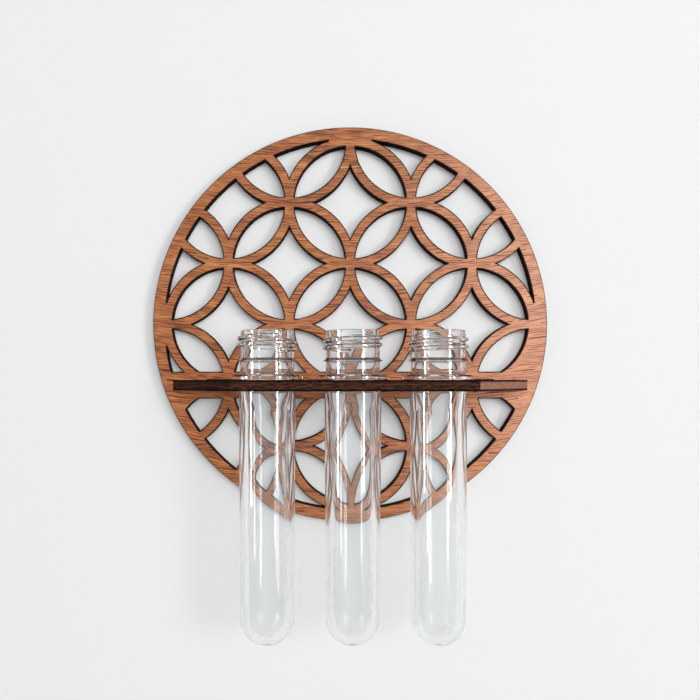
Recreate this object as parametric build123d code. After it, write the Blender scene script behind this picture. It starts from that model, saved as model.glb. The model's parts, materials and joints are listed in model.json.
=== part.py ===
from build123d import *
from math import asin, degrees, hypot, sqrt
import os

# A propagation vase that hangs on a wall: a pierced wooden disc, a wooden shelf tabbed into it,
# and three clear tubes that hang in the shelf by their support rings.
# Millimetres, +Z up, +X to the right seen from the front. The front faces -Y.
# The origin is the hanging notch, the upper cusp of the top star hole, on the disc's back face.

# Wooden sheet
DISC_THICKNESS = 5.0
SHELF_THICKNESS = 5.0

# Disc and its lattice of interlocking circles
DISC_DIAMETER = 193.0
RIM_WIDTH = 5.8
CIRCLE_RADIUS = 29.85           # centre line of each circle; crossings lie this far apart in X and in Z
RIBBON_WIDTH = 4.7
BAND_MARGIN = 4.1               # solid wood above and below the shelf
SMALLEST_LEFT_HOLE = 12.0       # area; left of the disc's centre a smaller hole stays wood
SMALLEST_RIGHT_HOLE = 40.0      # area; right of it too, so the corner over the shelf's right end is solid

# Shelf
SHELF_END_INSET = 4.9           # from the disc's edge to the shelf's back corner
SHELF_FRONT_OVERHANG = 15.5     # from an outer tube's axis to the shelf's front corner
SHELF_FRONT_WALL = 4.5          # wood between a tube hole and the front edge
TAB_LENGTH = 24.0
TAB_END_INSET = 17.0            # from the shelf's back corner to the outer tab
SLOT_CLEARANCE = 0.05           # on each side of a tab
HOLE_CLEARANCE = 0.35           # radial, round a tube's body

# Tubes: a neck on top of the support ring, a tapered body and a round end below it
TUBE_PLACES = {"left_tube": -1, "centre_tube": 0, "right_tube": 1}
TUBE_TURNS = {"left_tube": 210, "centre_tube": 0, "right_tube": 78}     # degrees, as each was dropped in
RING_GAP = 6.5                  # between neighbouring support rings
RING_TO_DISC_GAP = 5.5          # between a support ring and the disc's front face
NECK_BORE_DIAMETER = 21.74
NECK_WALL = 1.6
SHOULDER_WALL = 2.28            # just below the support ring
BODY_WALL = 4.0
BODY_TAPER = 1.5                # diameter lost between the ring and the round end
BODY_LENGTH = 122.0             # from the ring's underside to the tip
GATE_DIAMETER = 3.0             # small flat that moulding leaves at the tip, inside and out
BORE_BELOW_RING = 5.0           # the neck's bore runs this far below the ring's underside
BORE_CONE_LENGTH = 9.0          # over which the bore narrows to the body's inside
RING_FLANGE = 3.35              # ring beyond the body
RING_THICKNESS = 2.3
RING_CHAMFER = 0.6
NECK_GRIP_HEIGHT = 6.3          # plain neck between the ring and the bead
BEAD_DEPTH = 1.55
BEAD_HEIGHT = 1.4
BEAD_TO_THREAD = 3.8            # from the bead's top to the middle of the lowest ridge
THREAD_PITCH = 3.18
THREAD_TURNS = 2.0
THREAD_DEPTH = 1.25
THREAD_BASE_WIDTH = 2.4
THREAD_CREST_WIDTH = 0.9
THREAD_ROOT_SINK = 0.3          # ridge carried on into the neck wall, so that the two are one
THREAD_TO_RIM = 2.6             # from the middle of the highest ridge to the rim
RIM_CHAMFER = 0.4

# Disc, worked out
disc_radius = DISC_DIAMETER / 2
rim_inner_radius = disc_radius - RIM_WIDTH
ribbon_outer_radius = CIRCLE_RADIUS + RIBBON_WIDTH / 2
ribbon_inner_radius = CIRCLE_RADIUS - RIBBON_WIDTH / 2
# A star hole lies round each circle's centre. Its upper cusp is where the two outer arcs above it meet.
cusp_below_crossing = sqrt(ribbon_outer_radius**2 - CIRCLE_RADIUS**2)
# The top star hole is the highest one on the centre line whose upper cusp lies inside the rim.
top_star_row = 2 * (((rim_inner_radius + cusp_below_crossing) / CIRCLE_RADIUS - 1) // 2)
notch_height = (top_star_row + 1) * CIRCLE_RADIUS - cusp_below_crossing
disc_centre_z = -notch_height
band_height = SHELF_THICKNESS + 2 * BAND_MARGIN

# Tube, worked out
bore_radius = NECK_BORE_DIAMETER / 2
neck_radius = bore_radius + NECK_WALL
body_top_radius = bore_radius + SHOULDER_WALL
body_end_radius = body_top_radius - BODY_TAPER / 2
ring_radius = body_top_radius + RING_FLANGE
tube_pitch = 2 * ring_radius + RING_GAP
tube_standoff = ring_radius + RING_TO_DISC_GAP
tube_axis_y = -DISC_THICKNESS - tube_standoff
bead_bottom_z = RING_THICKNESS + NECK_GRIP_HEIGHT
bead_top_z = bead_bottom_z + BEAD_HEIGHT
thread_start_z = bead_top_z + BEAD_TO_THREAD
thread_height = THREAD_PITCH * THREAD_TURNS
rim_z = thread_start_z + thread_height + THREAD_TO_RIM

# Shelf, worked out. It lies on the row of crossings one circle radius below the disc's centre.
shelf_drop = CIRCLE_RADIUS
shelf_top_z = disc_centre_z - shelf_drop + SHELF_THICKNESS / 2
hole_radius = body_top_radius + HOLE_CLEARANCE
shelf_depth = tube_standoff + hole_radius + SHELF_FRONT_WALL
shelf_back_half = sqrt(disc_radius**2 - shelf_drop**2) - SHELF_END_INSET
shelf_front_half = max(TUBE_PLACES.values()) * tube_pitch + SHELF_FRONT_OVERHANG
outer_tab_x = shelf_back_half - TAB_END_INSET - TAB_LENGTH / 2
TAB_CENTRES = (-outer_tab_x, 0, outer_tab_x)


def lattice_holes():
    """Faces of the holes between the circles that have their centre on the disc, about the disc's centre."""
    reach = int(disc_radius / CIRCLE_RADIUS)
    ribbon = Circle(ribbon_outer_radius) - Circle(ribbon_inner_radius)
    open_area = Circle(rim_inner_radius) - Pos(0, -shelf_drop) * Rectangle(DISC_DIAMETER, band_height)
    for column in range(-reach, reach + 1):
        for row in range(-reach, reach + 1):
            centre_distance = hypot(column, row) * CIRCLE_RADIUS
            if (column + row) % 2 == 0 and centre_distance < disc_radius:
                open_area -= Pos(column * CIRCLE_RADIUS, row * CIRCLE_RADIUS) * ribbon
    return [
        hole
        for hole in open_area.faces()
        if hole.area > (SMALLEST_LEFT_HOLE if hole.center().X < 0 else SMALLEST_RIGHT_HOLE)
    ]


def lattice_disc():
    """Pierced disc with a slot in its band for each of the shelf's tabs."""
    outline = Circle(disc_radius) - lattice_holes()
    slot = Rectangle(TAB_LENGTH + 2 * SLOT_CLEARANCE, SHELF_THICKNESS + 2 * SLOT_CLEARANCE)
    for x in TAB_CENTRES:
        outline -= Pos(x, -shelf_drop) * slot
    return extrude(Plane.XZ * Pos(0, disc_centre_z) * outline, DISC_THICKNESS)


def tube_shelf():
    """Trapezoid shelf with tabs that end flush with the disc's back face."""
    back_y = -DISC_THICKNESS
    front_y = back_y - shelf_depth
    plan = make_face(
        Polyline(
            (-shelf_back_half, back_y),
            (-shelf_front_half, front_y),
            (shelf_front_half, front_y),
            (shelf_back_half, back_y),
            close=True,
        )
    )
    for x in TAB_CENTRES:
        plan += Pos(x, back_y / 2) * Rectangle(TAB_LENGTH, DISC_THICKNESS)
    for place in TUBE_PLACES.values():
        plan -= Pos(place * tube_pitch, tube_axis_y) * Circle(hole_radius)
    return extrude(Pos(0, 0, shelf_top_z - SHELF_THICKNESS) * plan, SHELF_THICKNESS)


def tube_wall():
    """Turned tube without its thread. The ring's underside is at z = 0 and the axis is Z."""
    gate_radius = GATE_DIAMETER / 2
    end_centre_z = sqrt(body_end_radius**2 - gate_radius**2) - BODY_LENGTH
    cone_end_z = -BORE_BELOW_RING - BORE_CONE_LENGTH
    inner_top_radius = body_top_radius - BODY_WALL
    inner_end_radius = body_end_radius - BODY_WALL
    outside = Polyline(
        (body_end_radius, end_centre_z),
        (body_top_radius, 0),
        (ring_radius, 0),
        (ring_radius, RING_THICKNESS - RING_CHAMFER),
        (ring_radius - RING_CHAMFER, RING_THICKNESS),
        (neck_radius, RING_THICKNESS),
        (neck_radius, bead_bottom_z),
        (neck_radius + BEAD_DEPTH, bead_bottom_z),
        (neck_radius, bead_top_z),
        (neck_radius, rim_z - RIM_CHAMFER),
        (neck_radius - RIM_CHAMFER, rim_z),
        (bore_radius, rim_z),
        (bore_radius, -BORE_BELOW_RING),
        (inner_top_radius, cone_end_z),
        (inner_end_radius, end_centre_z),
    )
    inner_gate_angle = degrees(asin(gate_radius / inner_end_radius))
    outer_gate_angle = degrees(asin(gate_radius / body_end_radius))
    inner_end = CenterArc((0, end_centre_z), inner_end_radius, 270 + inner_gate_angle, 90 - inner_gate_angle)
    outer_end = CenterArc((0, end_centre_z), body_end_radius, 270 + outer_gate_angle, 90 - outer_gate_angle)
    floor = Polyline(inner_end @ 0, (0, (inner_end @ 0).Y), (0, -BODY_LENGTH), outer_end @ 0)
    half_section = make_face([outside, inner_end, floor, outer_end])
    return revolve(Plane.XZ * half_section, Axis.Z)


def neck_thread():
    """Right-hand ridge round the neck. Both of its ends lie at the back of a tube that isn't turned."""
    path = Helix(THREAD_PITCH, thread_height, neck_radius)
    flank_slope = (THREAD_BASE_WIDTH - THREAD_CREST_WIDTH) / 2 / THREAD_DEPTH
    root_half_width = THREAD_BASE_WIDTH / 2 + THREAD_ROOT_SINK * flank_slope
    ridge = make_face(
        Polyline(
            (-THREAD_ROOT_SINK, -root_half_width),
            (THREAD_DEPTH, -THREAD_CREST_WIDTH / 2),
            (THREAD_DEPTH, THREAD_CREST_WIDTH / 2),
            (-THREAD_ROOT_SINK, root_half_width),
            close=True,
        )
    )
    section = Plane(origin=(neck_radius, 0, 0), x_dir=(1, 0, 0), z_dir=(0, -1, 0)) * ridge
    return Pos(0, 0, thread_start_z) * Rot(0, 0, 90) * sweep(section, path, is_frenet=True)


def clear_tube():
    """One whole tube about the Z axis, with its ring's underside at z = 0."""
    return tube_wall() + neck_thread()


parts = {"lattice_disc": lattice_disc(), "tube_shelf": tube_shelf()}
tube = clear_tube()
for name, place in TUBE_PLACES.items():
    parts[name] = Pos(place * tube_pitch, tube_axis_y, shelf_top_z) * Rot(0, 0, TUBE_TURNS[name]) * tube

os.makedirs("parts", exist_ok=True)
for name, shape in parts.items():
    export_step(shape, f"parts/{name}.step")
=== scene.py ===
"""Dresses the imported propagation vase: a pierced wooden disc, its shelf and three clear tubes."""
import json
import logging
import math
from dataclasses import dataclass, field
from enum import Enum
from typing import Any, Callable, Mapping, Optional, Union

import bpy
import numpy as np
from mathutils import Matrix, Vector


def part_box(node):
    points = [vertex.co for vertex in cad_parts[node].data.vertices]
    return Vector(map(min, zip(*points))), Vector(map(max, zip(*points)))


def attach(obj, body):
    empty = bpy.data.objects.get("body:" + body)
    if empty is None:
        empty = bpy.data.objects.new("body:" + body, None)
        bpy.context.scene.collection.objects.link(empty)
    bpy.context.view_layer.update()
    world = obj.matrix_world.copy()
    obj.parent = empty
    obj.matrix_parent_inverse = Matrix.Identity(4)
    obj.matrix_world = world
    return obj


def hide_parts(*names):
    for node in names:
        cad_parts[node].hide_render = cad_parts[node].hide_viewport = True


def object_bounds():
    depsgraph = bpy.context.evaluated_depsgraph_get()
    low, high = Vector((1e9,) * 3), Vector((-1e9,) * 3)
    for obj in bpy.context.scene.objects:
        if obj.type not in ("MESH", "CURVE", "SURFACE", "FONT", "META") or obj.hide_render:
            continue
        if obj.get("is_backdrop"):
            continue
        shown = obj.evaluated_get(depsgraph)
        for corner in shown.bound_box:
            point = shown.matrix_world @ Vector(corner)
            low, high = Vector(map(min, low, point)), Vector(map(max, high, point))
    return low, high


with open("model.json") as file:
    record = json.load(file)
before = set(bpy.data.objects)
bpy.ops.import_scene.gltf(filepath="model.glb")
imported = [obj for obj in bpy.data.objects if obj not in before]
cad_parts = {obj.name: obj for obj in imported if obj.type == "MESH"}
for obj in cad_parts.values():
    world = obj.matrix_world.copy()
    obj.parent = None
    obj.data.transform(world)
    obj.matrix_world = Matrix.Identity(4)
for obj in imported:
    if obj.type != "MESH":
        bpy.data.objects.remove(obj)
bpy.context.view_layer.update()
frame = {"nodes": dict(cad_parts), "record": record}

LOG = logging.getLogger("propagation_vase")
MM = 0.001
TUBE_TURNS = {"left_tube": 210.0, "centre_tube": 0.0, "right_tube": 78.0}

Colour = tuple[float, float, float, float]
Lump = tuple[float, float, float]
Span = tuple[float, float]
Number = Union["Field", float]


def linear(red: int, green: int, blue: int) -> Colour:
    """Turns a screen colour, given as values from 0 to 255, into a linear one.

    Args:
        red: red value.
        green: green value.
        blue: blue value.

    Returns:
        The linear colour with an alpha of 1.
    """
    screen = np.array([red, green, blue]) / 255
    straight = screen / 12.92
    curved = ((screen + 0.055) / 1.055) ** 2.4
    return (*np.where(screen <= 0.04045, straight, curved).tolist(), 1.0)


class Field:
    """A value that changes over a surface: one shader socket with Python's operators."""

    def __init__(self, board: "NodeBoard", socket: bpy.types.NodeSocket) -> None:
        """Keeps the socket and the board that its node stands on."""
        self.board = board
        self.socket = socket

    def _math(self, operation: str, first: Number, second: Number = 0.0) -> "Field":
        """Adds one Math node for the operation."""
        return self.board.add("ShaderNodeMath", {"operation": operation}, {0: first, 1: second})

    def __add__(self, other: Number) -> "Field":
        """Sum."""
        return self._math("ADD", self, other)

    __radd__ = __add__

    def __sub__(self, other: Number) -> "Field":
        """Difference."""
        return self._math("SUBTRACT", self, other)

    def __rsub__(self, other: Number) -> "Field":
        """Difference with this value taken away."""
        return self._math("SUBTRACT", other, self)

    def __mul__(self, other: Number) -> "Field":
        """Product."""
        return self._math("MULTIPLY", self, other)

    __rmul__ = __mul__

    def __truediv__(self, other: Number) -> "Field":
        """Quotient."""
        return self._math("DIVIDE", self, other)

    def __rtruediv__(self, other: Number) -> "Field":
        """Quotient with this value below the line."""
        return self._math("DIVIDE", other, self)

    def __abs__(self) -> "Field":
        """Size without its sign."""
        return self._math("ABSOLUTE", self)

    def whole(self) -> "Field":
        """The whole number at or below this value."""
        return self._math("FLOOR", self)

    def least(self, other: Number) -> "Field":
        """The smaller of the two values."""
        return self._math("MINIMUM", self, other)

    def most(self, other: Number) -> "Field":
        """The larger of the two values."""
        return self._math("MAXIMUM", self, other)

    def joined(self, other: Number, blend: float) -> "Field":
        """The larger of the two values, rounded off where they differ by less than blend."""
        sockets = {0: self, 1: other, 2: blend}
        return self.board.add("ShaderNodeMath", {"operation": "SMOOTH_MAX"}, sockets)

    def step(self, low: Number, high: Number, start: float = 0.0, end: float = 1.0) -> "Field":
        """Goes smoothly from start to end while the value goes from low to high.

        Args:
            low: value at which the result is still start.
            high: value from which the result is end.
            start: result below low.
            end: result above high.

        Returns:
            The smoothed value.
        """
        sockets = {"Value": self, "From Min": low, "From Max": high, "To Min": start, "To Max": end}
        return self.board.add("ShaderNodeMapRange", {"interpolation_type": "SMOOTHSTEP"}, sockets)


class NodeBoard:
    """The node tree of one material or world, to which nodes are added."""

    def __init__(self, tree: bpy.types.NodeTree) -> None:
        """Clears the tree."""
        self.tree = tree
        tree.nodes.clear()

    def add(
        self,
        kind: str,
        settings: Optional[Mapping[str, Any]] = None,
        sockets: Optional[Mapping[Union[str, int], Any]] = None,
        out: Union[str, int] = 0,
    ) -> Optional[Field]:
        """Adds a node of any kind.

        Args:
            kind: the node's type.
            settings: the node's own properties, set before its sockets.
            sockets: a value or a Field for each input, by name or number.
            out: which output to hand back.

        Returns:
            The chosen output, or None from a node that has no outputs.
        """
        node = self.tree.nodes.new(kind)
        for name, value in (settings or {}).items():
            setattr(node, name, value)
        for name, value in (sockets or {}).items():
            if isinstance(value, Field):
                self.tree.links.new(value.socket, node.inputs[name])
            else:
                node.inputs[name].default_value = value
        return Field(self, node.outputs[out]) if node.outputs else None

    def mix(self, share: Number, first: Union[Field, Colour], second: Union[Field, Colour]) -> Field:
        """Mixes two colours, with share 1 giving the second."""
        return self.add("ShaderNodeMix", {"data_type": "RGBA"}, {0: share, 6: first, 7: second}, out=2)

    def spot(self, x: Number, y: Number, z: Number) -> Field:
        """Puts three numbers together as a point."""
        return self.add("ShaderNodeCombineXYZ", None, {0: x, 1: y, 2: z})

    def parts(self, point: Field) -> tuple[Field, Field, Field]:
        """Takes a point apart into its three numbers."""
        outputs = self.add("ShaderNodeSeparateXYZ", None, {0: point}).socket.node.outputs
        return tuple(Field(self, socket) for socket in outputs)

    def place(self) -> tuple[Field, Field, Field]:
        """Object coordinates in millimetres."""
        metres = self.add("ShaderNodeTexCoord", out="Object")
        sockets = {0: metres, "Scale": 1 / MM}
        return self.parts(self.add("ShaderNodeVectorMath", {"operation": "SCALE"}, sockets))

    def facing(self) -> tuple[Field, Field, Field]:
        """Object-space normal."""
        return self.parts(self.add("ShaderNodeTexCoord", out="Normal"))

    def lumps(
        self, place: tuple[Number, Number, Number], size: Lump, detail: float = 2.0, rough: float = 0.5
    ) -> Field:
        """Noise from 0 to 1, in lumps of the given size along each of the three directions.

        Args:
            place: the three coordinates.
            size: length of a lump along each of them.
            detail: how many finer layers lie in it.
            rough: how strong these layers are.

        Returns:
            The noise.
        """
        point = self.spot(*(value / length for value, length in zip(place, size)))
        sockets = {"Vector": point, "Scale": 1.0, "Detail": detail, "Roughness": rough}
        return self.add("ShaderNodeTexNoise", None, sockets)

    def distance(self, point: Field, centre: tuple[float, float, float]) -> Field:
        """Distance from a point to a fixed centre."""
        sockets = {0: point, 1: centre}
        return self.add("ShaderNodeVectorMath", {"operation": "DISTANCE"}, sockets, out="Value")


class SheetPlane(Enum):
    """How a wooden piece lies: its axes along the grain, across the grain and through the sheet."""

    UPRIGHT = (0, 2, 1)
    FLAT = (0, 1, 2)


@dataclass(frozen=True)
class WoodFinish:
    """Oiled reddish-brown veneer on plywood, with its cut walls charred.

    Lengths are in millimetres. A lump is the size of a noise along, across and through the grain. A span is
    where a smooth step starts and ends.
    """

    name: str
    plane: SheetPlane
    thickness: float
    middle: float
    # painted light: pale pinkish colour laid on towards the right, standing in for window light and sheen
    painted_window_light: Colour = linear(220, 151, 114)
    light: Colour = linear(210, 140, 82)
    warm: Colour = linear(168, 100, 53)
    deep: Colour = linear(98, 48, 27)
    pore: Colour = linear(86, 29, 10)
    char: Colour = linear(7, 5, 5)
    core: Colour = linear(88, 50, 36)
    # painted light: lighter brown for cut walls that face right, as if lit from the right
    painted_lit_wall: Colour = linear(186, 132, 110)
    core_share: float = 0.1
    # how much of that painted lit colour walls facing right get
    painted_lit_share: float = 0.0
    bow: float = 0.0008
    drift_lump: Lump = (46.0, 17.0, 40.0)
    drift_reach: float = 7.0
    broad_lump: Lump = (60.0, 6.0, 20.0)
    band_lump: Lump = (20.0, 1.5, 9.0)
    fibre_lump: Lump = (9.0, 0.5, 5.0)
    tone_shares: tuple[float, float, float] = (0.4, 0.5, 0.7)
    tone_base: float = 0.31
    warm_span: Span = (0.3, 0.52)
    # painted light: where and how strongly the wood is made paler towards the right
    light_span: Span = (0.48, 0.74)
    painted_window_light_span: Span = (5.0, 95.0)
    painted_window_light_share: float = 0.45
    row_gap: float = 1.1
    weave_lump: Lump = (22.0, 2.2, 8.0)
    weave_start: float = 68.2
    weave_reach: float = 1.7
    stroke_lump: Lump = (7.0, 1.0, 4.0)
    stroke_jump: float = 7.3
    stroke_span: Span = (0.42, 0.54)
    pore_span: Span = (0.06, 0.19)
    pore_share: float = 0.9
    pore_depth: float = 0.12
    fleck_lump: Lump = (4.0, 0.8, 1.0)
    fleck_span: Span = (0.4, 0.62)
    fleck_least: float = 0.1
    # least brown share on walls that face right, part of the painted lit side
    painted_lit_least: float = 0.6
    char_span: Span = (0.5, 0.82)
    turn_span: Span = (0.4, 0.8)
    wobble_lump: Lump = (1.9, 1.9, 1.0)
    wobble_reach: float = 0.3
    line_width: float = 0.5
    line_blur: float = 0.3
    line_share: float = 0.95
    line_dip: float = 0.6
    smoke_width: float = 0.9
    smoke_share: float = 0.5
    rough_span: Span = (0.3, 0.8)
    dark_rough: float = 0.62
    light_rough: float = 0.46
    pore_rough: float = 0.12
    oil: float = 0.6
    oil_rough: float = 0.42
    oil_lost: float = 0.95

    def grain(
        self, board: NodeBoard, along: Field, across: Field, through: Field
    ) -> tuple[Field, Field, Field]:
        """Colour, pore depth and sheen of the bare veneer.

        The across-grain coordinate bows with the square of the distance along the grain and is bent by slow
        noise. Noise that is long along the grain and short across it is laid over itself at three widths.
        Light from the window side is painted in: towards the right the veneer is mixed towards a pale
        pinkish colour. The pores lie in wavy rows along the grain, each broken into strokes of its own.

        Args:
            board: node board of the material.
            along: millimetres along the grain.
            across: millimetres across the grain.
            through: millimetres through the sheet.

        Returns:
            The colour, how much of a pore each spot is, and how light the wood is there.
        """
        drift = board.lumps((along, across, through), self.drift_lump)
        bent = across - along * along * self.bow + (drift - 0.5) * self.drift_reach
        broad = board.lumps((along, bent, through), self.broad_lump)
        band = board.lumps((along, bent, through), self.band_lump, 3.0, 0.6)
        fibre = board.lumps((along, bent, through), self.fibre_lump, 3.0, 0.6)
        broad_share, band_share, fibre_share = self.tone_shares
        tone = broad * broad_share + band * band_share + fibre * fibre_share - self.tone_base
        colour = board.mix(tone.step(*self.warm_span), self.deep, self.warm)
        colour = board.mix(tone.step(*self.light_span), colour, self.light)
        # Painted light: towards the right the wood is mixed towards a pale pinkish colour, standing in for
        # window light and sheen from that side.
        colour = board.mix(along.step(*self.painted_window_light_span) * self.painted_window_light_share, colour, self.painted_window_light)
        weave = board.lumps((along, bent + self.weave_start, through), self.weave_lump, 1.0)
        rows = bent / self.row_gap + weave * self.weave_reach
        row = rows.whole()
        strokes = board.lumps((along, row * self.stroke_jump, through), self.stroke_lump, 1.0)
        off_row = abs(rows - row - 0.5)
        pores = off_row.step(*self.pore_span, 1.0, 0.0) * strokes.step(*self.stroke_span)
        return board.mix(pores * self.pore_share, colour, self.pore), pores, tone

    def burnt(self, board: NodeBoard, along: Field, through: Field, right: Field) -> Field:
        """Colour of a cut wall: charred near both faces, browner in the core between them.

        A wall that faces right is painted lighter and browner, as if lit by a window on the right.

        Args:
            board: node board of the material.
            along: millimetres along the cut.
            through: millimetres through the sheet.
            right: how far the wall faces right.

        Returns:
            The colour.
        """
        from_middle = abs(through - self.middle) / (self.thickness / 2)
        fleck = board.lumps((along, through, 0.0), self.fleck_lump, 4.0, 0.75)
        # Painted light: walls that face right get a lighter brown, as if lit by the window on the right.
        painted_lit_side = right.step(*self.turn_span) * self.painted_lit_share
        brown = fleck.step(*self.fleck_span, self.fleck_least, 1.0).most(painted_lit_side * self.painted_lit_least)
        core = (1 - from_middle.step(*self.char_span)) * brown
        return board.mix(core * self.core_share, self.char, board.mix(painted_lit_side, self.core, self.painted_lit_wall))

    def dress(
        self, piece: bpy.types.Object, edge_depth: Callable[[NodeBoard, Field, Field], Field]
    ) -> None:
        """Gives a piece this finish.

        Args:
            piece: the wooden piece.
            edge_depth: gives the distance to a cut edge from the board and the two face coordinates.
        """
        material = bpy.data.materials.new(self.name)
        material.use_nodes = True
        board = NodeBoard(material.node_tree)
        place = board.place()
        along, across, through = (place[axis] for axis in self.plane.value)
        colour, pores, tone = self.grain(board, along, across, through)
        wobble = board.lumps((along, across, 0.0), self.wobble_lump)
        depth = edge_depth(board, along, across) + (wobble - 0.5) * self.wobble_reach
        smoke = depth.step(0.0, self.smoke_width, self.smoke_share, 0.0)
        line_start = self.line_width * (1 - self.line_blur)
        line_end = self.line_width * (1 + self.line_blur)
        line = depth.step(line_start, line_end, 1.0, 0.0)
        colour = board.mix(smoke, colour, self.core)
        colour = board.mix(line * self.line_share, colour, self.char)
        facing = board.facing()
        wall = abs(facing[self.plane.value[2]]).step(*self.turn_span, 1.0, 0.0)
        colour = board.mix(wall, colour, self.burnt(board, along + across, through, facing[0]))
        soot = wall.most(line)
        bare_rough = tone.step(*self.rough_span, self.dark_rough, self.light_rough) + pores * self.pore_rough
        height = (1 - pores) * (1 - line * self.line_dip)
        dent = {"Strength": 0.25, "Distance": self.pore_depth * MM, "Height": height}
        surface = board.add(
            "ShaderNodeBsdfPrincipled",
            None,
            {
                "Base Color": colour,
                "Roughness": bare_rough.most(soot),
                "Normal": board.add("ShaderNodeBump", None, dent),
                "Specular IOR Level": 0.08,
                "Coat Weight": (1 - soot) * (1 - pores * self.oil_lost) * self.oil,
                "Coat Roughness": self.oil_rough,
            },
        )
        board.add("ShaderNodeOutputMaterial", None, {"Surface": surface})
        piece.data.materials.clear()
        piece.data.materials.append(material)


@dataclass(frozen=True)
class ClearPlasticFinish:
    """Clear gloss plastic, here and there a little hazy along the flow of moulding."""

    name: str = "clear_moulded_plastic"
    tint: Colour = (0.945, 0.957, 0.958, 1.0)
    refraction: float = 1.57
    haze_lump: Lump = (6.0, 6.0, 30.0)
    haze_span: Span = (0.4, 0.7)
    haze_rough: float = 0.012

    def dress(self, piece: bpy.types.Object) -> None:
        """Gives a piece this finish.

        Args:
            piece: the clear piece.
        """
        material = bpy.data.materials.get(self.name)
        if material is None:
            material = self.make()
        piece.data.materials.append(material)

    def make(self) -> bpy.types.Material:
        """Makes the material, whose roughness follows noise that is long up the tube.

        Returns:
            The material.
        """
        material = bpy.data.materials.new(self.name)
        material.use_nodes = True
        board = NodeBoard(material.node_tree)
        haze = board.lumps(board.place(), self.haze_lump)
        surface = board.add(
            "ShaderNodeBsdfPrincipled",
            None,
            {
                "Base Color": self.tint,
                "Roughness": haze.step(*self.haze_span, 0.0, self.haze_rough),
                "IOR": self.refraction,
                "Transmission Weight": 1.0,
            },
        )
        board.add("ShaderNodeOutputMaterial", None, {"Surface": surface})
        return material


@dataclass
class LatticeDisc:
    """Pierced disc: a rim, a lattice of interlocking circles and a band that takes the shelf's tabs."""

    node: str = "lattice_disc"
    ribbon_width: float = 4.7
    rim_width: float = 5.8
    band_height: float = 13.2
    tab_length: float = 24.0
    outer_tab: float = 57.87
    tab_height: float = 5.0
    uncut_corner: tuple[float, float, float] = (82.6, -36.7, 0.0)
    uncut_reach: float = 1.7
    corner_blend: float = 1.0
    shallow_corner: float = 4.6
    outer_line_share: float = 0.55
    slot_depth: float = 0.02
    circle_radius: float = field(init=False)
    radius: float = field(init=False)
    centre_z: float = field(init=False)
    back_y: float = field(init=False)
    thickness: float = field(init=False)

    def __post_init__(self) -> None:
        """Reads the disc's place and sizes from the frame, in millimetres.

        The centre star hole and the hanging hole lie two circle radii apart.
        """
        boxes = {opening["name"]: opening["box_m"] for opening in frame["record"]["physics"]["openings"]}
        apart = np.mean(boxes["hanging_hole"], axis=0) - np.mean(boxes["centre_star_hole"], axis=0)
        self.circle_radius = apart[2] / 2 / MM
        low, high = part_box(self.node)
        self.radius = (high.z - low.z) / 2 / MM
        self.centre_z = (high.z + low.z) / 2 / MM
        self.back_y = high.y / MM
        self.thickness = (high.y - low.y) / MM

    def edge_depth(self, board: NodeBoard, x: Field, z: Field) -> Field:
        """How far inside the wood a spot of the face lies, in millimetres.

        The lattice is the same in all four quarters, so a spot is folded into one of them. The depth in a
        ribbon is half its width less the distance to its centre line. Where ribbons, rim and band overlap,
        the greatest depth counts, rounded off at their corners, and the outer edge and the tab slots then
        cap it. Where the outermost circles run into the rim at a shallow angle, the two depths together,
        over the sine of that angle, give the distance to the tip. The corner over the band's right end and
        the tiny one under each of its ends are uncut.

        Args:
            board: node board of the material.
            x: millimetres across the disc.
            z: millimetres up.

        Returns:
            The depth.
        """
        up = z - self.centre_z
        quarter = board.spot(abs(x), abs(up), 0.0)
        pitch = self.circle_radius
        ribbons = {}
        for column, row in ((0, 0), (1, 1), (2, 0), (0, 2), (2, 2), (3, 1), (1, 3)):
            off_line = abs(board.distance(quarter, (column * pitch, row * pitch, 0)) - pitch)
            ribbons[column, row] = self.ribbon_width / 2 - off_line
        from_centre = board.distance(quarter, (0, 0, 0))
        rim = from_centre - (self.radius - self.rim_width)
        tip = (ribbons[2, 0].most(ribbons[0, 2]) + rim) * self.shallow_corner
        off_band = abs(up + pitch)
        band = self.band_height / 2 - off_band
        uncut = self.uncut_reach - board.distance(board.spot(abs(x), up, 0.0), self.uncut_corner)
        right_circle = board.distance(board.spot(x, up, 0.0), (2 * pitch, 0, 0))
        right_corner = (right_circle - pitch).least(x - pitch).least(0 - up).least(up + pitch)
        wood = ribbons.pop((0, 0))
        for depth in (*ribbons.values(), rim, band):
            wood = wood.joined(depth, self.corner_blend)
        wood = wood.most(tip).most(uncut).most(right_corner)
        wood = wood.least((self.radius - from_centre) / self.outer_line_share)
        off_tab = abs(x).least(abs(abs(x) - self.outer_tab)) - self.tab_length / 2
        slot = off_tab.most(off_band - self.tab_height / 2)
        return wood.least(slot.most(0.0) + self.slot_depth)

    def dress(self) -> None:
        """Finishes the disc's own solid."""
        middle = self.back_y - self.thickness / 2
        finish = WoodFinish("disc_veneer", SheetPlane.UPRIGHT, self.thickness, middle)
        finish.dress(frame["nodes"][self.node], self.edge_depth)
        LOG.info("%s dressed, %.0f mm across", self.node, 2 * self.radius)


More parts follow.
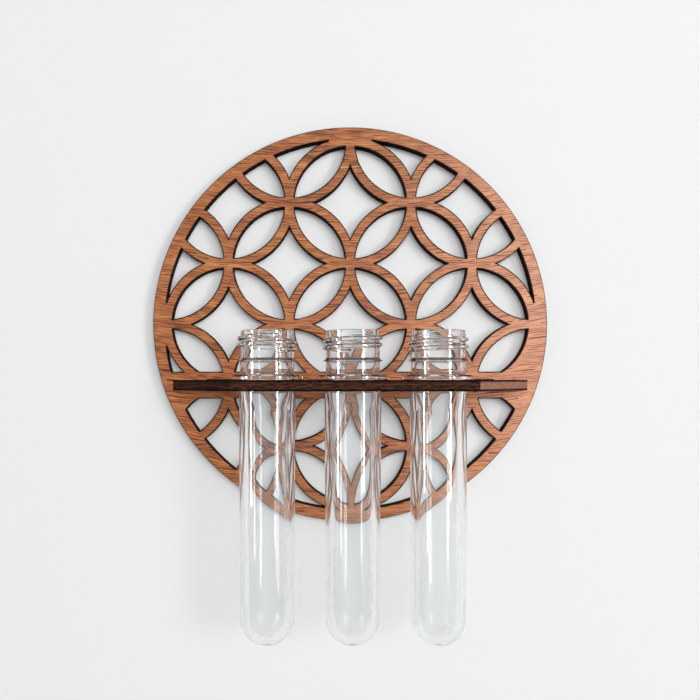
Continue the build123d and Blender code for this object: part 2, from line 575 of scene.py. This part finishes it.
@dataclass
class TubeShelf:
    """Trapezoid shelf with a hole for each tube."""

    node: str = "tube_shelf"
    front_half: float = 55.0
    hole_radius: float = 13.5
    tube_axis_y: float = -27.0
    tube_pitch: float = 39.5
    tab_depth: float = 5.0
    back_half: float = field(init=False)
    front_y: float = field(init=False)
    middle_z: float = field(init=False)
    thickness: float = field(init=False)

    def __post_init__(self) -> None:
        """Reads the shelf's outer size and place from the frame, in millimetres."""
        low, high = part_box(self.node)
        self.back_half = high.x / MM
        self.front_y = low.y / MM
        self.middle_z = (high.z + low.z) / 2 / MM
        self.thickness = (high.z - low.z) / MM

    def edge_depth(self, board: NodeBoard, x: Field, y: Field) -> Field:
        """How far a spot of the shelf's face lies from the nearest cut, in millimetres.

        The front edge is a straight line, each side a slanted line, and each hole a circle about a tube's
        axis.

        Args:
            board: node board of the material.
            x: millimetres across the shelf.
            y: millimetres from the wall, negative towards the front.

        Returns:
            The depth.
        """
        depth = -self.tab_depth - self.front_y
        run = self.back_half - self.front_half
        length = math.hypot(depth, run)
        slant = (self.front_half - abs(x)) * (depth / length) + (y - self.front_y) * (run / length)
        folded = abs(x).least(abs(abs(x) - self.tube_pitch))
        hole = board.distance(board.spot(folded, y, 0.0), (0, self.tube_axis_y, 0)) - self.hole_radius
        return (y - self.front_y).least(slant).least(hole).most(0.0)

    def dress(self) -> None:
        """Finishes the shelf's own solid."""
        # The shelf's cut walls that face right get the painted lit, lighter brown.
        finish = WoodFinish(
            "shelf_veneer", SheetPlane.FLAT, self.thickness, self.middle_z, core_share=1.0, painted_lit_share=1.0
        )
        finish.dress(frame["nodes"][self.node], self.edge_depth)
        LOG.info("%s dressed, %.0f mm long at the back", self.node, 2 * self.back_half)


def rounded_line(corners: np.ndarray, radii: np.ndarray, steps: int = 6) -> np.ndarray:
    """Line through corner points with every inner corner turned into an arc.

    At a corner with unit directions u and v to its neighbours and half the angle between them h, the arc's
    centre lies radius / sin(h) from the corner along u + v, and the arc runs between the feet
    radius / tan(h) away along u and v.

    Args:
        corners: one (radius, height) row for each corner, ends included.
        radii: one arc radius for each inner corner.
        steps: points on each arc.

    Returns:
        One (radius, height) row for each point.
    """
    here = corners[1:-1]
    before = corners[:-2] - here
    after = corners[2:] - here
    u = before / np.linalg.norm(before, axis=1, keepdims=True)
    v = after / np.linalg.norm(after, axis=1, keepdims=True)
    half = np.arccos(np.clip((u * v).sum(1), -1, 1)) / 2
    bisector = u + v
    bisector /= np.linalg.norm(bisector, axis=1, keepdims=True)
    centre = here + bisector * (radii / np.sin(half))[:, None]
    first = here + u * (radii / np.tan(half))[:, None] - centre
    last = here + v * (radii / np.tan(half))[:, None] - centre
    sweep = math.pi - 2 * half
    share = np.linspace(0, 1, steps)
    weight_first = np.sin(sweep[:, None] * (1 - share)) / np.sin(sweep)[:, None]
    weight_last = np.sin(sweep[:, None] * share) / np.sin(sweep)[:, None]
    from_first = first[:, None] * weight_first[..., None]
    from_last = last[:, None] * weight_last[..., None]
    arcs = centre[:, None] + from_first + from_last
    return np.vstack([corners[:1], arcs.reshape(-1, 2), corners[-1:]])


@dataclass
class ClearTube:
    """One tube: a round-ended tapered body, a support ring, and a neck with a bead and a thread.

    Sizes are in millimetres, and heights are measured from the support ring's underside. The tube is turned
    about its axis by so many degrees.
    """

    node: str
    turned: float
    neck_wall: float = 1.6
    shoulder_wall: float = 2.28
    body_wall: float = 4.0
    body_taper: float = 1.5
    gate_radius: float = 1.5
    ring_thickness: float = 2.3
    ring_edge: float = 1.656
    ring_bevel: float = 0.7
    grip_height: float = 6.3
    bead_depth: float = 1.55
    bead_height: float = 1.4
    bead_to_thread: float = 3.8
    thread_pitch: float = 3.18
    thread_turns: float = 2.0
    thread_depth: float = 1.25
    thread_base: float = 2.4
    thread_crest: float = 0.9
    thread_run_out: float = 0.09
    thread_margin: float = 0.1
    rim_round: float = 0.45
    bore_round: float = 0.3
    cone_length: float = 9.0
    cone_round: float = 12.0
    lower_rounds: tuple[float, ...] = (0.3, 0.35, 0.25, 0.25, 0.5, 0.25, 0.18, 0.3)
    columns: int = 144
    thread_rows: int = 96
    dome_rows: int = 30
    bore_radius: float = field(init=False)
    bore_length: float = field(init=False)
    ring_radius: float = field(init=False)
    axis_x: float = field(init=False)
    axis_y: float = field(init=False)
    rim: float = field(init=False)
    tip: float = field(init=False)
    seat_z: float = field(init=False)

    def __post_init__(self) -> None:
        """Reads the tube's place and outer size from the frame, and its bore from the record's mount."""
        low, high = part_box(self.node)
        self.axis_x = (low.x + high.x) / 2 / MM
        self.axis_y = (low.y + high.y) / 2 / MM
        self.ring_radius = (high.x - low.x) / 2 / MM
        self.seat_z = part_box("tube_shelf")[1].z / MM
        self.rim = high.z / MM - self.seat_z
        self.tip = low.z / MM - self.seat_z
        bore_name = self.node.replace("tube", "bore")
        bore = next(mount for mount in frame["record"]["mounts"] if mount["name"] == bore_name)
        self.bore_radius = bore["dims"]["r_mm"]
        self.bore_length = bore["dims"]["length_mm"]

    def dome(self, radius: float, centre: float) -> np.ndarray:
        """Round end as a quarter circle from the gate's flat to the wall.

        Args:
            radius: the end's radius.
            centre: height of its centre.

        Returns:
            One (radius, height) row for each point, from the gate outwards.
        """
        angle = np.linspace(math.asin(self.gate_radius / radius), math.pi / 2, self.dome_rows)
        return np.column_stack([radius * np.sin(angle), centre - radius * np.cos(angle)])

    def profile(self) -> tuple[np.ndarray, slice]:
        """Closed outline of the wall, up the outside and down the inside.

        Returns:
            One (radius, height) row for each point, and the rows on which the thread stands.
        """
        neck = self.bore_radius + self.neck_wall
        body_top = self.bore_radius + self.shoulder_wall
        body_end = body_top - self.body_taper / 2
        end_centre = self.tip + math.sqrt(body_end**2 - self.gate_radius**2)
        bead_low = self.ring_thickness + self.grip_height
        bead_high = bead_low + self.bead_height
        margin = self.thread_margin
        neck_end = self.rim - self.rim_round
        lower = rounded_line(
            np.array([
                (body_end, end_centre),
                (body_top, 0.0),
                (self.ring_radius, 0.0),
                (self.ring_radius, self.ring_edge),
                (self.ring_radius - self.ring_bevel, self.ring_thickness),
                (neck, self.ring_thickness),
                (neck, bead_low),
                (neck + self.bead_depth, bead_low),
                (neck, bead_high),
                (neck, bead_high + 3 * margin),
            ]),
            np.array(self.lower_rounds),
        )
        threaded = np.column_stack([
            np.full(self.thread_rows, neck),
            np.linspace(bead_high + 4 * margin, neck_end - margin, self.thread_rows),
        ])
        inner_top = body_top - self.body_wall
        inner_end = body_end - self.body_wall
        bore_end = self.rim - self.bore_length
        upper = rounded_line(
            np.array([
                (neck, neck_end - margin / 2),
                (neck, self.rim),
                (self.bore_radius, self.rim),
                (self.bore_radius, bore_end),
                (inner_top, bore_end - self.cone_length),
                (inner_end, end_centre),
            ]),
            np.array([self.rim_round, self.bore_round, self.cone_round, self.cone_round]),
            steps=10,
        )
        outer_dome = self.dome(body_end, end_centre)
        inner_dome = self.dome(inner_end, end_centre)[::-1]
        rows = np.vstack([outer_dome[:-1], lower, threaded, upper, inner_dome[1:]])
        start = len(outer_dome) - 1 + len(lower)
        return rows, slice(start, start + self.thread_rows)

    def ridge(self, angle: np.ndarray, height: np.ndarray) -> np.ndarray:
        """How far the thread stands out of the neck.

        A right-hand helix rises one pitch in each turn from the tube's back. The nearest of its turns gives
        the distance along the axis, a trapezoid of base and crest width gives the height there, and both
        ends fade out.

        Args:
            angle: column angles from the X axis.
            height: row heights.

        Returns:
            One row of stand-outs for each height.
        """
        start = self.rim - self.thread_turns * self.thread_pitch - self.top_land()
        turn = (angle / (2 * math.pi) - 0.25 - self.turned / 360) % 1.0
        climb = (height[:, None] - start) / self.thread_pitch
        lap = np.clip(np.round(climb - turn), 0, math.ceil(self.thread_turns) - 1)
        along = turn + lap
        off = np.abs(climb - along) * self.thread_pitch
        flank = (self.thread_base - self.thread_crest) / 2
        rise = np.clip((self.thread_base / 2 - off) / flank, 0, 1)
        start_fade = np.clip(along / self.thread_run_out, 0, 1)
        end_fade = np.clip((self.thread_turns - along) / self.thread_run_out, 0, 1)
        smooth = rise * rise * (3 - 2 * rise)
        return self.thread_depth * smooth * np.sqrt(start_fade * end_fade)

    def top_land(self) -> float:
        """Height from the middle of the highest ridge to the rim."""
        stack = self.ring_thickness + self.grip_height + self.bead_height + self.bead_to_thread
        return self.rim - stack - self.thread_turns * self.thread_pitch

    def build(self) -> bpy.types.Object:
        """Turns the outline about the tube's axis, adds the thread on its rows and closes both gates.

        Returns:
            The new piece, which stands for the tube's solid.
        """
        rows, threaded = self.profile()
        angle = np.linspace(0, 2 * math.pi, self.columns, endpoint=False)
        radius = np.repeat(rows[:, :1], self.columns, axis=1)
        radius[threaded] += self.ridge(angle, rows[threaded, 1])
        height = np.repeat(rows[:, 1:], self.columns, axis=1)
        grid = np.stack([radius * np.cos(angle), radius * np.sin(angle), height], axis=-1).reshape(-1, 3)
        poles = np.array([(0, 0, rows[0, 1]), (0, 0, rows[-1, 1])])
        points = (np.vstack([grid, poles]) + (self.axis_x, self.axis_y, self.seat_z)) * MM
        count = len(rows)
        index = np.arange(count * self.columns).reshape(count, self.columns)
        beside = np.roll(index, -1, axis=1)
        quads = np.stack([index[:-1], beside[:-1], beside[1:], index[1:]], axis=-1).reshape(-1, 4)
        outer_pole = np.full(self.columns, len(grid))
        inner_pole = outer_pole + 1
        outer_fan = np.column_stack([outer_pole, beside[0], index[0]])
        inner_fan = np.column_stack([inner_pole, index[-1], beside[-1]])
        mesh = bpy.data.meshes.new(self.node + "_clear")
        mesh.from_pydata(points.tolist(), [], quads.tolist() + outer_fan.tolist() + inner_fan.tolist())
        mesh.polygons.foreach_set("use_smooth", np.ones(len(mesh.polygons), bool))
        mesh.update()
        piece = bpy.data.objects.new(self.node + "_clear", mesh)
        piece.visible_diffuse = False
        bpy.context.scene.collection.objects.link(piece)
        ClearPlasticFinish().dress(piece)
        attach(piece, self.node + "_body")
        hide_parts(self.node)
        LOG.info("%s built, %d faces", piece.name, len(mesh.polygons))
        return piece


class LampUse(Enum):
    """What a lamp is for: lighting matt surfaces, showing in gloss or in clear pieces, shading by tubes.

    A fill passes through the clear tubes, so that only a window casts their soft shadow. A sheen lies on the
    wood alone.
    """

    WINDOW = (True, False, False, True)
    FILL = (True, False, False, False)
    SHEEN = (False, True, False, False)
    GLINT = (False, True, True, False)


@dataclass(frozen=True)
class Lamp:
    """Soft rectangular lamp aimed at the object. Angles are in degrees from the front, sizes in metres."""

    name: str
    azimuth: float
    elevation: float
    distance: float
    width: float
    height: float
    power: float
    use: LampUse

    def place(self, target: np.ndarray, wooden: bpy.types.Collection) -> None:
        """Makes the lamp on a sphere about the target, facing it.

        Args:
            target: point that the lamp faces.
            wooden: the pieces that always cast a shadow, and that alone get a sheen.
        """
        turn, rise = math.radians(self.azimuth), math.radians(self.elevation)
        away = np.array([math.sin(turn) * math.cos(rise), -math.cos(turn) * math.cos(rise), math.sin(rise)])
        light = bpy.data.lights.new(self.name, "AREA")
        light.shape = "RECTANGLE"
        light.size = self.width
        light.size_y = self.height
        light.energy = self.power
        lamp = bpy.data.objects.new(self.name, light)
        lamp.location = target + away * self.distance
        lamp.rotation_euler = (math.pi / 2 - rise, 0, turn)
        lamp.visible_diffuse, lamp.visible_glossy, lamp.visible_transmission, tubes_shade = self.use.value
        if not tubes_shade:
            lamp.light_linking.blocker_collection = wooden
        if self.use is LampUse.SHEEN:
            lamp.light_linking.receiver_collection = wooden
        bpy.context.scene.collection.objects.link(lamp)


@dataclass
class Studio:
    """Pale wall, soft lamps and camera. Lengths are in metres."""

    wall_gap: float = 0.0006
    wall_half: float = 1.5
    wall_colour: Colour = linear(236, 236, 236)
    sky_colour: Colour = (0.95, 0.97, 1.0, 1.0)
    sky_strength: float = 0.27
    ground_colour: Colour = linear(212, 213, 214)
    view_distance: float = 0.380
    view_left: float = 0.0205
    view_below: float = 0.0272
    lens: float = 39.86
    shift: tuple[float, float] = (0.0594, 0.0424)
    lamps: tuple[Lamp, ...] = (
        Lamp("front_fill", 6.0, 8.0, 3.0, 2.0, 1.6, 55.0, LampUse.FILL),
        Lamp("rear_fill", 190.0, 25.0, 3.0, 2.0, 1.6, 33.0, LampUse.FILL),
        Lamp("right_fill", 46.0, 20.0, 2.6, 0.9, 1.6, 7.0, LampUse.FILL),
        Lamp("right_window", 42.0, 2.0, 2.6, 0.7, 1.0, 17.0, LampUse.WINDOW),
        Lamp("right_sheen", 40.0, 12.0, 1.6, 0.8, 1.2, 33.0, LampUse.SHEEN),
        Lamp("right_glint", 42.0, 10.0, 1.3, 0.15, 1.3, 16.0, LampUse.GLINT),
        Lamp("left_glint", -66.0, 10.0, 1.3, 0.17, 1.3, 18.0, LampUse.GLINT),
    )

    def wall(self) -> None:
        """Flat wall just behind the disc, seen from its front only, so that the object's back shows too."""
        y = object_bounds()[1].y + self.wall_gap
        half = self.wall_half
        corners = np.array([(-half, y, -half), (half, y, -half), (half, y, half), (-half, y, half)])
        mesh = bpy.data.meshes.new("wall")
        mesh.from_pydata(corners.tolist(), [], [(0, 1, 2, 3)])
        mesh.update()
        wall = bpy.data.objects.new("wall", mesh)
        bpy.context.scene.collection.objects.link(wall)
        wall.visible_shadow = False
        wall.visible_diffuse = False
        material = bpy.data.materials.new("wall_paint")
        material.use_nodes = True
        board = NodeBoard(material.node_tree)
        paint = board.add("ShaderNodeBsdfDiffuse", None, {"Color": self.wall_colour})
        unseen = board.add("ShaderNodeBsdfTransparent")
        behind = board.add("ShaderNodeNewGeometry", out="Backfacing")
        shown = board.add("ShaderNodeMixShader", None, {0: behind, 1: paint, 2: unseen})
        board.add("ShaderNodeOutputMaterial", None, {"Surface": shown})
        mesh.materials.append(material)
        wall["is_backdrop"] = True

    def sky(self) -> None:
        """Even light from all round, shown as a pale ground to the camera and in gloss and clear pieces."""
        world = bpy.data.worlds.new("soft_sky")
        world.use_nodes = True
        board = NodeBoard(world.node_tree)
        even = {"Color": self.sky_colour, "Strength": self.sky_strength}
        light = board.add("ShaderNodeBackground", None, even)
        ground = board.add("ShaderNodeBackground", None, {"Color": self.ground_colour, "Strength": 1.0})
        rays = board.add("ShaderNodeLightPath").socket.node.outputs
        kinds = ("Camera", "Glossy", "Transmission")
        camera, gloss, clear = (Field(board, rays[f"Is {kind} Ray"]) for kind in kinds)
        seen = camera.most(gloss).most(clear)
        mixed = board.add("ShaderNodeMixShader", None, {0: seen, 1: light, 2: ground})
        board.add("ShaderNodeOutputWorld", None, {"Surface": mixed})
        bpy.context.scene.world = world

    def camera(self, disc: LatticeDisc) -> None:
        """Camera square to the wall, a little left of the disc's centre and below it.

        Args:
            disc: the disc that is looked at.
        """
        data = bpy.data.cameras.new("camera")
        data.lens = self.lens
        data.shift_x, data.shift_y = self.shift
        data.clip_start = 0.01
        camera = bpy.data.objects.new("camera", data)
        front_y = (disc.back_y - disc.thickness) * MM
        height = disc.centre_z * MM - self.view_below
        camera.location = (-self.view_left, front_y - self.view_distance, height)
        camera.rotation_euler = (math.pi / 2, 0, 0)
        bpy.context.scene.collection.objects.link(camera)
        bpy.context.scene.camera = camera

    def build(self, disc: LatticeDisc) -> None:
        """Makes the camera, the wall, the sky and the lamps.

        Args:
            disc: the disc that the lamps face.
        """
        self.camera(disc)
        self.wall()
        self.sky()
        target = np.array([0.0, 0.0, disc.centre_z * MM])
        wooden = bpy.data.collections.new("wooden_pieces")
        for node in ("lattice_disc", "tube_shelf"):
            wooden.objects.link(frame["nodes"][node])
        for lamp in self.lamps:
            lamp.place(target, wooden)
        bpy.context.scene.view_settings.view_transform = "Standard"
        LOG.info("studio built with %d lamps", len(self.lamps))


def main() -> None:
    """Builds the studio, the wooden pieces and the tubes in order."""
    logging.basicConfig(level=logging.INFO, format="%(name)s: %(message)s")
    disc = LatticeDisc()
    Studio().build(disc)
    disc.dress()
    TubeShelf().dress()
    for node, turned in TUBE_TURNS.items():
        ClearTube(node, turned).build()


if __name__ == "__main__":
    main()
